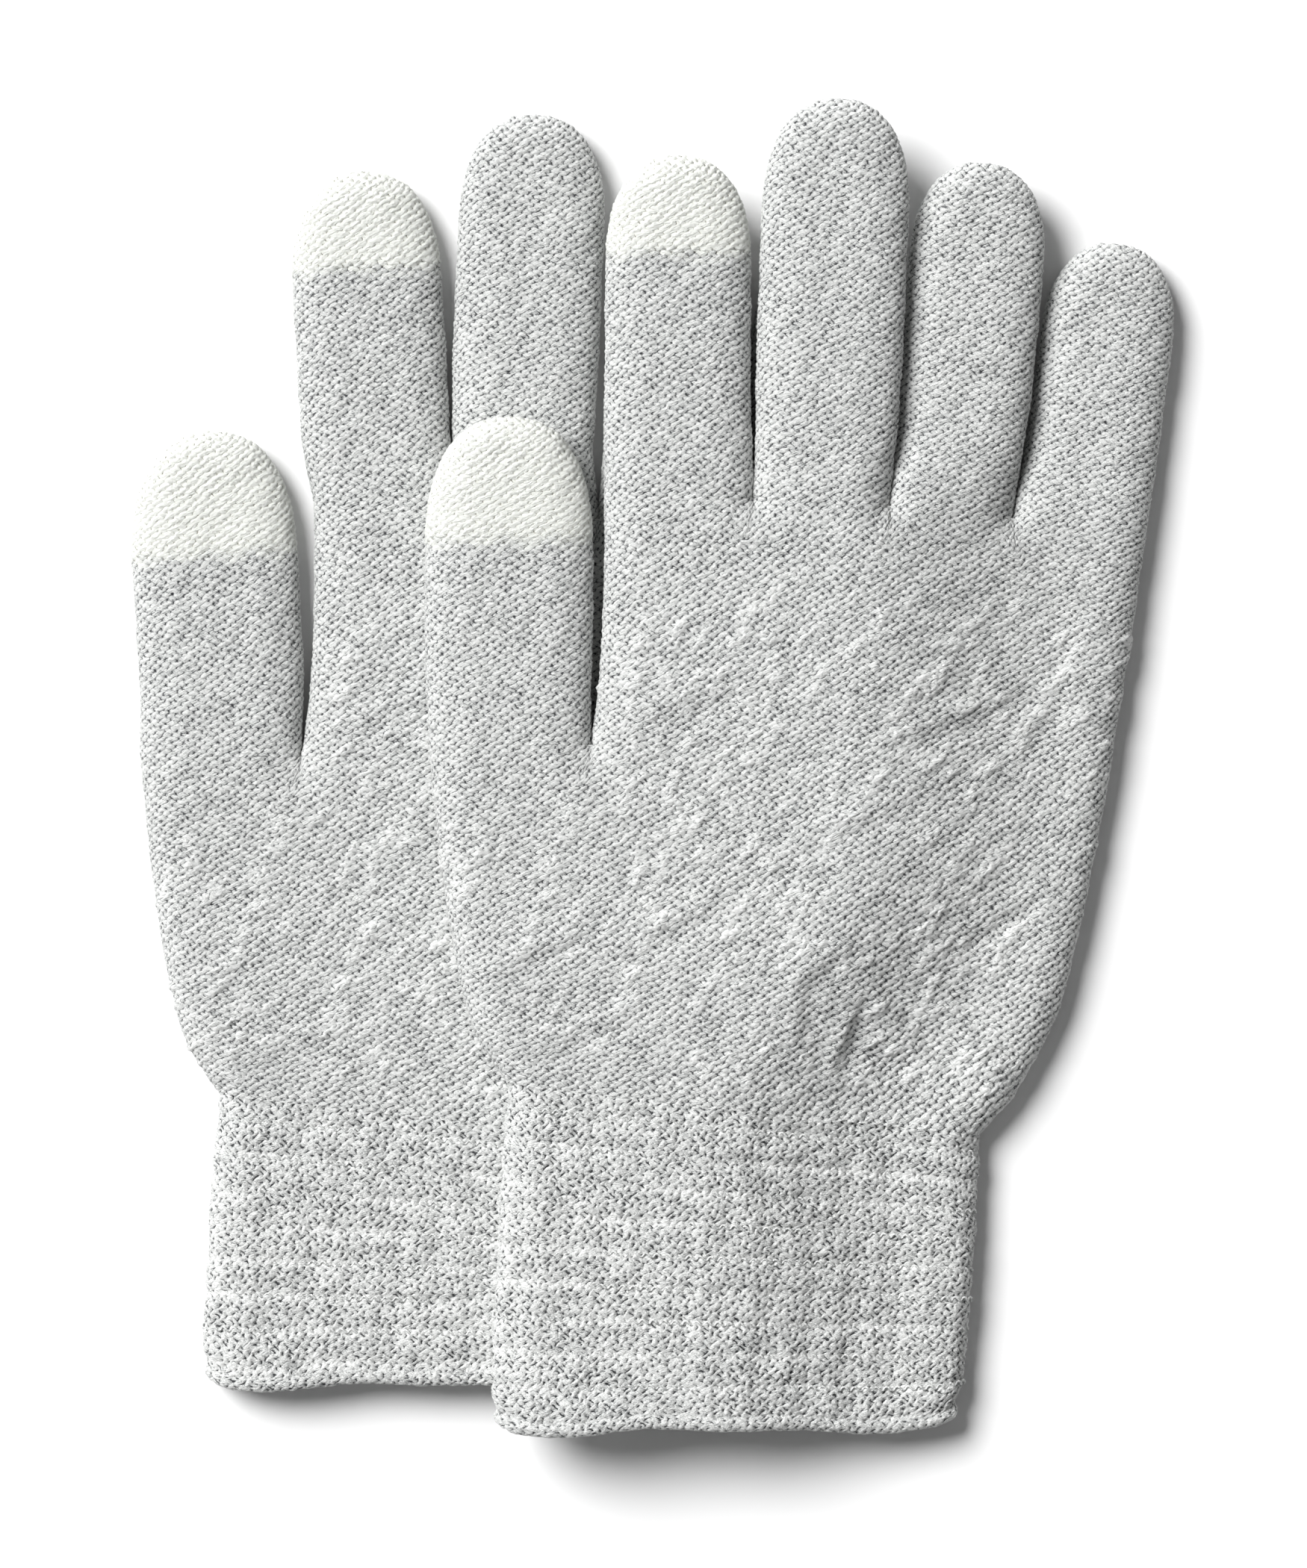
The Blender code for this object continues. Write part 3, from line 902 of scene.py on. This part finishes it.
def thread_ring(points, radius):
    """A thin yarn along a closed line of points."""
    tangent = np.roll(points, -1, axis=0) - np.roll(points, 1, axis=0)
    tangent = tangent / np.maximum(np.linalg.norm(tangent, axis=1, keepdims=True), 1e-9)
    aside = np.cross(tangent, np.array((0.0, 1.0, 0.0)))
    aside = aside / np.maximum(np.linalg.norm(aside, axis=1, keepdims=True), 1e-9)
    upright = np.cross(aside, tangent)
    rings = []
    for side in range(THREAD_SIDES + 1):
        angle = 2.0 * math.pi * side / THREAD_SIDES
        rings.append(points + radius * (math.cos(angle) * aside + math.sin(angle) * upright))
    return np.array(rings)


def elastic_piece(glove, name, move):
    """Elastic courses: thin yarns laid in the cuff, which surface between its columns."""
    skin = Skin()
    length = CUFF_LENGTH[glove.name]
    for turn in range(ELASTIC_TURNS):
        down = ELASTIC_FIRST + turn * ELASTIC_PITCH
        if down > length - ELASTIC_FROM_MOUTH:
            break
        tube = glove.cuff_grid([down / length + 0.0002, down / length, down / length - 0.0002])
        normal = tube.normals()[1]
        u = tube.knit[1, :, 0]
        phase = u * 2.0 * math.pi / CUFF_WALE + turn
        shown = ELASTIC_SHOWN * soft_noise(u / 16.0, np.full(len(u), turn * 1.7 + 0.5), ELASTIC_SEED)
        height = ELASTIC_WAVE * np.sin(phase) + shown - ELASTIC_DEPTH
        points = tube.points[1] + normal * height[:, None]
        points[:, 1] += ELASTIC_SWAY * np.cos(phase)
        points[:, 1] += mouth_pull(length - down) * hem_wave(u)
        rings = thread_ring(points, ELASTIC_RADIUS)
        knit = np.tile(tube.knit[1][None], (len(rings), 1, 1))
        skin.cover(skin.add(rings, knit))
    return skin.build(name, move)


def hem_piece(glove, name, move):
    """The rolled edge at the cuff's mouth."""
    skin = Skin()
    mouth = glove.cuff_grid([1.0, 0.99], inset=HEM_INSET)
    centre = mouth.points[0]
    u = mouth.knit[0, :, 0]
    normal = mouth.normals()[0]
    rings, knit = [], []
    wave = hem_wave(u) - HEM_OUT
    for step in range(HEM_STEPS + 1):
        angle = 2.0 * math.pi * step / HEM_STEPS
        v = WRIST_V - CUFF_LENGTH[glove.name] - HEM_RADIUS * angle
        stitch, column, row = purl_stitch(u, np.full(len(u), v), Numbers)
        uneven = HEM_UNEVEN * soft_noise(u / 2.0, np.full(len(u), v / 2.0), HEM_SEED)
        radius = HEM_RADIUS + HEM_DEPTH * (stitch - STITCH_LEVEL) + uneven
        ring = centre + normal * (radius * math.cos(angle))[:, None]
        ring[:, 1] += wave - radius * math.sin(angle)
        rings.append(ring)
        knit.append(np.column_stack((u, np.full(len(u), v), np.zeros(len(u)))))
    rings, knit = np.array(rings), np.array(knit)
    rings[-1] = rings[0]
    skin.cover(skin.add(rings, knit), flipped=True)
    return skin.build(name, move)


def build_glove(name, materials):
    """Knits one glove's tubes, joins them to each other, and cuts them into pieces."""
    glove = Glove(name)
    hand_body = f"{name}_hand"
    move = np.array((-PAIR_CENTRE[0], -PAIR_CENTRE[1], 0.0))
    if name == "under":
        move = move + np.array((*UNDER_SHIFT, 0.0))
    move = tuple(move)
    seed = GLOVE_SEED[name]
    fold_strength = FOLD_STRENGTH[name]

    digits = {}
    for digit in DIGITS:
        digits[digit] = glove.digit_grid(digit, glove.digit_levels(digit))
        press_plain(digits[digit], seed)
    four_groups = glove.four_finger_groups()
    four_v = (THUMB_V, KNUCKLE_V)
    four = glove.hand_grid(THUMB_TO_KNUCKLES, shares_of(KNUCKLE_V - THUMB_V), four_groups, four_v)
    five_groups = [lambda inset: glove.digit_ring("thumb", 0.0, inset), glove.knuckle_start]
    five_v = (WRIST_V, THUMB_V)
    five = glove.hand_grid(WRIST_TO_THUMB, shares_of(THUMB_V - WRIST_V), five_groups, five_v)
    press_plain(four, seed, fold_strength)
    press_plain(five, seed, fold_strength)
    finger_counts = [glove.counts[digit] for digit in FINGERS]
    join_branches(four, [digits[digit] for digit in FINGERS], finger_counts)
    four_counts = (sum(upper for upper, lower in finger_counts), sum(lower for upper, lower in finger_counts))
    join_branches(five, [digits["thumb"], four], [glove.counts["thumb"], four_counts])
    cuff = glove.cuff_grid(shares_of(CUFF_LENGTH[name])[::-1])
    cuff.levels = -cuff.levels
    press_purl(cuff, seed)
    cuff.points[-1] = five.points[0]

    def add_hand_part(node, outer, inner):
        piece = knitted_piece(f"{node}_knit", outer, inner, outer.levels[0], outer.levels[-1], move)
        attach(piece, hand_body)
        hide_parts(node)
        return piece

    hand_parts = (
        (f"{name}_four_finger_body", four, THUMB_TO_KNUCKLES, four_groups, four_v),
        (f"{name}_five_finger_body", five, WRIST_TO_THUMB, five_groups, five_v),
    )
    for node, outer, shape, groups, base in hand_parts:
        levels = inner_levels(outer.levels, ())
        shares = (levels - base[0]) / (base[1] - base[0])
        inner = glove.hand_grid(shape, shares, groups, base, WALL)
        piece = add_hand_part(node, outer, inner)
        finish_piece(piece, materials["plain"])
    levels = inner_levels(cuff.levels, ())
    inner = glove.cuff_grid(-levels / CUFF_LENGTH[name], WALL)
    inner.levels = levels
    piece = add_hand_part(f"{name}_cuff", cuff, inner)
    finish_piece(piece, materials["purl"])

    for make, part, material, slot in (
        (hem_piece, "cuff_hem", "purl", "cuff_yarn"),
        (elastic_piece, "cuff_elastic", "elastic", "elastic"),
    ):
        piece = make(glove, f"{name}_{part}_knit", move)
        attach(piece, hand_body)
        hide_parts(f"{name}_{part}")
        finish_piece(piece, materials[material])

    for digit, tube in digits.items():
        build_digit(glove, digit, tube, move, materials)


def finish_piece(piece, material):
    piece.data.materials.append(material)


def build_digit(glove, digit, tube, move, materials):
    """Cuts a digit's tube into base, sleeve and touch tip; the touch tip goes on the body of the digit's end,
    or the hand if there is none, the base goes on the hand only where the digit has no root body, and the
    sleeve only where it has no end body.
    """
    sizes = DIGITS[digit]
    name = glove.name
    bodies = frame["bodies"]
    hand, root, end = f"{name}_hand", f"{name}_{digit}_root", f"{name}_{digit}_end"
    cut = snapped(tube, sizes["bend"] - TURN_BEFORE)
    touch = snapped(tube, sizes["touch"]) if sizes["touch"] else None
    stop = float(tube.levels[-1])
    levels = inner_levels(tube.levels, [cut] + ([touch] if touch else []))
    inner = glove.digit_grid(digit, levels, WALL)

    def turned(piece, start, finish):
        where = [place_along(glove, digit, level, move) for level in (start, finish)]
        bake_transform(piece)

    base = knitted_piece(f"{name}_{digit}_base_knit", tube, inner, 0.0, cut, move)
    if root in bodies:
        turned(base, 0.0, ROOT_TURN)
    else:
        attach(base, hand)
    sleeve = knitted_piece(f"{name}_{digit}_sleeve_knit", tube, inner, cut, touch or stop, move, not touch)
    if end in bodies:
        turned(sleeve, sizes["bend"] - TURN_BEFORE, sizes["bend"] + TURN_AFTER)
    else:
        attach(sleeve, hand)
    material = materials[digit] if touch else materials["plain"]
    for piece, part in ((base, "base"), (sleeve, "sleeve")):
        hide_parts(f"{name}_{digit}_{part}")
        finish_piece(piece, material)
    if touch:
        tip = knitted_piece(f"{name}_{digit}_touch_tip_knit", tube, inner, touch, stop, move, True)
        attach(tip, end if end in bodies else hand)
        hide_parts(f"{name}_{digit}_touch_tip")
        finish_piece(tip, material)


# ---------------------------------------------------------------------------------------------------------
# Materials
# ---------------------------------------------------------------------------------------------------------

# Yarn greys from dark to pale; the stitch height sets where a point lies on them, so the dark stops are
# painted shade in the slits and the pale stops painted highlight on the stitch crowns
GREY_RAMP = (
    (0.00, (0.030, 0.032, 0.036)),
    (0.18, (0.150, 0.156, 0.160)),
    (0.38, (0.420, 0.430, 0.428)),
    (0.60, (0.720, 0.730, 0.718)),
    (1.00, (0.930, 0.938, 0.922)),
)
# The off-white touch yarn, with the same painted shade in its slits and painted highlight on its stitch
# crowns
TOUCH_RAMP = (
    (0.00, (0.200, 0.190, 0.150)),
    (0.16, (0.500, 0.490, 0.425)),
    (0.34, (0.790, 0.795, 0.725)),
    (0.60, (0.900, 0.915, 0.855)),
    (1.00, (0.950, 0.965, 0.915)),
)


# How much each part of a yarn's look adds to its brightness; the stitch part is painted shade in the slits
# between stitches and painted highlight on their crowns
PLAIN_MIX = dict(stitch=1.28, streak=1.35, cross=1.05, heather=0.26, jitter=0.22, slub=0.20, base=-1.99)
PURL_MIX = dict(stitch=0.86, streak=1.15, cross=1.00, heather=0.34, jitter=0.26, slub=0.24, base=-1.55)
RAISED_PALER = 0.30
TOUCH_PALER = 0.30
TOUCH_BORDER = (-0.6, 2.6)   # the pale yarn comes in over this stretch of courses, in millimetres
BAND_PALER, TEETH_PALER = 0.24, 0.32
TOOTH_WIDTH = 0.86


def new_material(name):
    material = bpy.data.materials.new(name)
    material.use_nodes = True
    tree = material.node_tree
    shader = tree.nodes["Principled BSDF"]
    shader.inputs["Specular IOR Level"].default_value = 0.25
    shader.inputs["Sheen Weight"].default_value = 0.18
    shader.inputs["Sheen Roughness"].default_value = 0.6
    return material, tree, shader


def knit_place(tree):
    attribute = tree.nodes.new("ShaderNodeAttribute")
    attribute.attribute_name = "knit"
    split = tree.nodes.new("ShaderNodeSeparateXYZ")
    tree.links.new(attribute.outputs["Vector"], split.inputs[0])
    return [Term(tree, output) for output in split.outputs]


def joined(tree, x, y):
    join = tree.nodes.new("ShaderNodeCombineXYZ")
    tree.links.new(x.socket, join.inputs[0])
    tree.links.new(y.socket, join.inputs[1])
    return join.outputs[0]


def noise(tree, x, y, detail=2.0, distortion=0.0):
    node = tree.nodes.new("ShaderNodeTexNoise")
    node.noise_dimensions = "2D"
    node.inputs["Scale"].default_value = 1.0
    node.inputs["Detail"].default_value = detail
    node.inputs["Distortion"].default_value = distortion
    tree.links.new(joined(tree, x, y), node.inputs["Vector"])
    return Term(tree, node.outputs[0])


def per_stitch(tree, column, row):
    node = tree.nodes.new("ShaderNodeTexWhiteNoise")
    node.noise_dimensions = "2D"
    tree.links.new(joined(tree, column, row), node.inputs["Vector"])
    return Term(tree, node.outputs["Value"])


def fibres(tree, u, v, lean, length, width):
    """Streaks of single fibres lying along the yarn."""
    along = u * math.cos(lean) + v * math.sin(lean)
    across = v * math.cos(lean) - u * math.sin(lean)
    return noise(tree, along / length, across / width, detail=2.0, distortion=0.6)


def brightness(mix, layers):
    """Where on its colour ramp a yarn is, from the weights in a mix; the stitch layer in it is painted shade
    in the slits and painted highlight on the stitches' crowns.
    """
    value = layers["stitch"] * mix["stitch"]
    for name in ("streak", "cross", "heather", "jitter", "slub"):
        value = value + layers[name] * mix[name]
    return value + mix["base"]


def ramp(tree, factor, stops):
    node = tree.nodes.new("ShaderNodeValToRGB")
    elements = node.color_ramp.elements
    while len(elements) < len(stops):
        elements.new(0.5)
    for element, (position, colour) in zip(elements, stops):
        element.position = position
        element.color = (*colour, 1.0)
    tree.links.new(factor.socket, node.inputs["Fac"])
    return node.outputs["Color"]


def mixed(tree, factor, first, second):
    node = tree.nodes.new("ShaderNodeMix")
    node.data_type = "RGBA"
    tree.links.new(factor.socket, node.inputs["Factor"])
    tree.links.new(first, node.inputs["A"])
    tree.links.new(second, node.inputs["B"])
    return node.outputs["Result"]


def add_bump(tree, shader, height, distance):
    bump = tree.nodes.new("ShaderNodeBump")
    bump.inputs["Strength"].default_value = 1.0
    bump.inputs["Distance"].default_value = distance * MM
    tree.links.new(height.socket, bump.inputs["Height"])
    tree.links.new(bump.outputs[0], shader.inputs["Normal"])


def plain_yarn(name, touch_from=None):
    """Heathered wool in the knit face, turning to off-white conductive yarn from a given course on, with
    painted shade in the slits between stitches and painted highlight on their crowns.
    """
    material, tree, shader = new_material(name)
    u, v, raised = knit_place(tree)
    stitch, column, row = plain_stitch(u, v, NodeMaths, raised)
    # painted shade in the slits between stitches and painted highlight on their crowns, from each stitch's
    # height
    painted_stitch_shade = NodeMaths.power(stitch, 0.50)
    jitter = per_stitch(tree, column, row)
    streak = fibres(tree, u, v, math.radians(24), 0.75, 0.17)
    cross = fibres(tree, u, v, math.radians(-38), 0.60, 0.15)
    heather = noise(tree, u / 1.1, v / 0.8, detail=3.0)
    slub = noise(tree, u / 7.0, v / 4.0, detail=2.0)
    layers = dict(stitch=painted_stitch_shade, streak=streak, cross=cross, heather=heather, jitter=jitter, slub=slub)
    value = brightness(PLAIN_MIX, layers) + RAISED_PALER * raised
    grey = ramp(tree, value, GREY_RAMP)
    colour = grey
    if touch_from is not None:
        pale = ramp(tree, value + TOUCH_PALER, TOUCH_RAMP)
        centre = row * COURSE + 1.8 * jitter
        touch = (centre + 1.6 * streak).between(*(touch_from + edge for edge in TOUCH_BORDER))
        colour = mixed(tree, touch, grey, pale)
    tree.links.new(colour, shader.inputs["Base Color"])
    tree.links.new((0.80 + 0.15 * streak).socket, shader.inputs["Roughness"])
    add_bump(tree, shader, 0.30 * stitch + 0.65 * streak + 0.50 * cross, 0.42)
    return material


def purl_yarn(name):
    """The same wool in the cuff: purl loops, with paler courses where the elastic is knitted in, and painted
    shade in the slits between loops and painted highlight on their crowns.
    """
    material, tree, shader = new_material(name)
    u, v, raised = knit_place(tree)
    stitch, column, row = purl_stitch(u, v, NodeMaths)
    # painted shade in the slits between loops and painted highlight on their crowns, from each loop's height
    painted_stitch_shade = NodeMaths.power(stitch, 0.50)
    jitter = per_stitch(tree, column, row)
    streak = fibres(tree, u, v, math.radians(18), 0.60, 0.17)
    cross = fibres(tree, u, v, math.radians(-36), 0.55, 0.17)
    heather = noise(tree, u / 0.9, v / 0.8, detail=3.0)
    course = (WRIST_V - ELASTIC_FIRST - v) / ELASTIC_PITCH
    course = NodeMaths.absolute(course - NodeMaths.floor(course + 0.5)) * ELASTIC_PITCH
    band = 1.0 - course.between(0.2, 0.85)
    teeth = 0.5 + 0.5 * NodeMaths.sin(u * (2.0 * math.pi / TOOTH_WIDTH))
    slub = noise(tree, u / 6.0, v / 3.0, detail=2.0)
    patchy = noise(tree, u / 17.0, v / 4.0, detail=1.0).between(0.38, 0.62)
    layers = dict(stitch=painted_stitch_shade, streak=streak, cross=cross, heather=heather, jitter=jitter, slub=slub)
    value = brightness(PURL_MIX, layers) + band * patchy * (BAND_PALER + TEETH_PALER * teeth)
    tree.links.new(ramp(tree, value, GREY_RAMP), shader.inputs["Base Color"])
    tree.links.new((0.80 + 0.15 * streak).socket, shader.inputs["Roughness"])
    add_bump(tree, shader, 0.34 * stitch + 0.65 * streak + 0.50 * cross, 0.45)
    return material


def elastic_yarn(name):
    """Pale wool-covered elastic."""
    material, tree, shader = new_material(name)
    u, v, raised = knit_place(tree)
    streak = fibres(tree, u, v, math.radians(62), 0.45, 0.16)
    colour = ramp(tree, streak * 0.9 + 0.12, GREY_RAMP)
    tree.links.new(colour, shader.inputs["Base Color"])
    tree.links.new((0.75 + 0.2 * streak).socket, shader.inputs["Roughness"])
    add_bump(tree, shader, streak, 0.15)
    return material


# ---------------------------------------------------------------------------------------------------------
# Studio, in metres
# ---------------------------------------------------------------------------------------------------------

CAMERA_CENTRE = (0.00057, -0.00296)
VIEW_HEIGHT = 0.2690
LENS, SENSOR = 200.0, 36.0      # millimetres
FOCUS_HEIGHT = 0.012
KEY_FROM = (-1.00, 0.78, 1.32)
KEY_STRENGTH = 4.6
KEY_SOFTNESS = math.radians(34)
FILL_STRENGTH = 0.16
FLOOR_REACH = 6.0


def make_camera():
    data = bpy.data.cameras.new("camera")
    data.lens = LENS
    data.sensor_width = SENSOR
    data.clip_end = 20.0
    camera = bpy.data.objects.new("camera", data)
    distance = VIEW_HEIGHT * LENS / SENSOR
    camera.location = (*CAMERA_CENTRE, FOCUS_HEIGHT + distance)
    bpy.context.scene.collection.objects.link(camera)
    bpy.context.scene.camera = camera


def make_floor():
    mesh = bpy.data.meshes.new("floor")
    far = FLOOR_REACH
    corners = [(-far, -far, 0), (far, -far, 0), (far, far, 0), (-far, far, 0)]
    mesh.from_pydata(corners, [], [(0, 1, 2, 3)])
    floor = bpy.data.objects.new("floor", mesh)
    bpy.context.scene.collection.objects.link(floor)
    material = bpy.data.materials.new("floor_paper")
    material.use_nodes = True
    shader = material.node_tree.nodes["Principled BSDF"]
    shader.inputs["Base Color"].default_value = (0.93, 0.93, 0.93, 1.0)
    shader.inputs["Roughness"].default_value = 0.9
    shader.inputs["Specular IOR Level"].default_value = 0.0
    mesh.materials.append(material)


def make_key():
    """Soft light from the upper left."""
    data = bpy.data.lights.new("key", "SUN")
    data.energy = KEY_STRENGTH
    data.angle = KEY_SOFTNESS
    light = bpy.data.objects.new("key", data)
    light.rotation_euler = (-Vector(KEY_FROM)).to_track_quat("-Z", "Y").to_euler()
    bpy.context.scene.collection.objects.link(light)


def make_studio():
    make_camera()
    make_floor()
    make_key()
    world = bpy.data.worlds.new("studio")
    world.use_nodes = True
    background = world.node_tree.nodes["Background"]
    background.inputs["Color"].default_value = (1.0, 1.0, 1.0, 1.0)
    background.inputs["Strength"].default_value = FILL_STRENGTH
    bpy.context.scene.world = world
    bpy.context.scene.view_settings.view_transform = "Standard"


def main():
    make_studio()
    materials = {
        "plain": plain_yarn("grey_plain_knit"),
        "thumb": plain_yarn("thumb_knit", THUMB_V + DIGITS["thumb"]["touch"]),
        "index": plain_yarn("index_knit", KNUCKLE_V + DIGITS["index"]["touch"]),
        "purl": purl_yarn("grey_purl_knit"),
        "elastic": elastic_yarn("elastic_yarn"),
    }
    for name in ("under", "top"):
        build_glove(name, materials)


main()
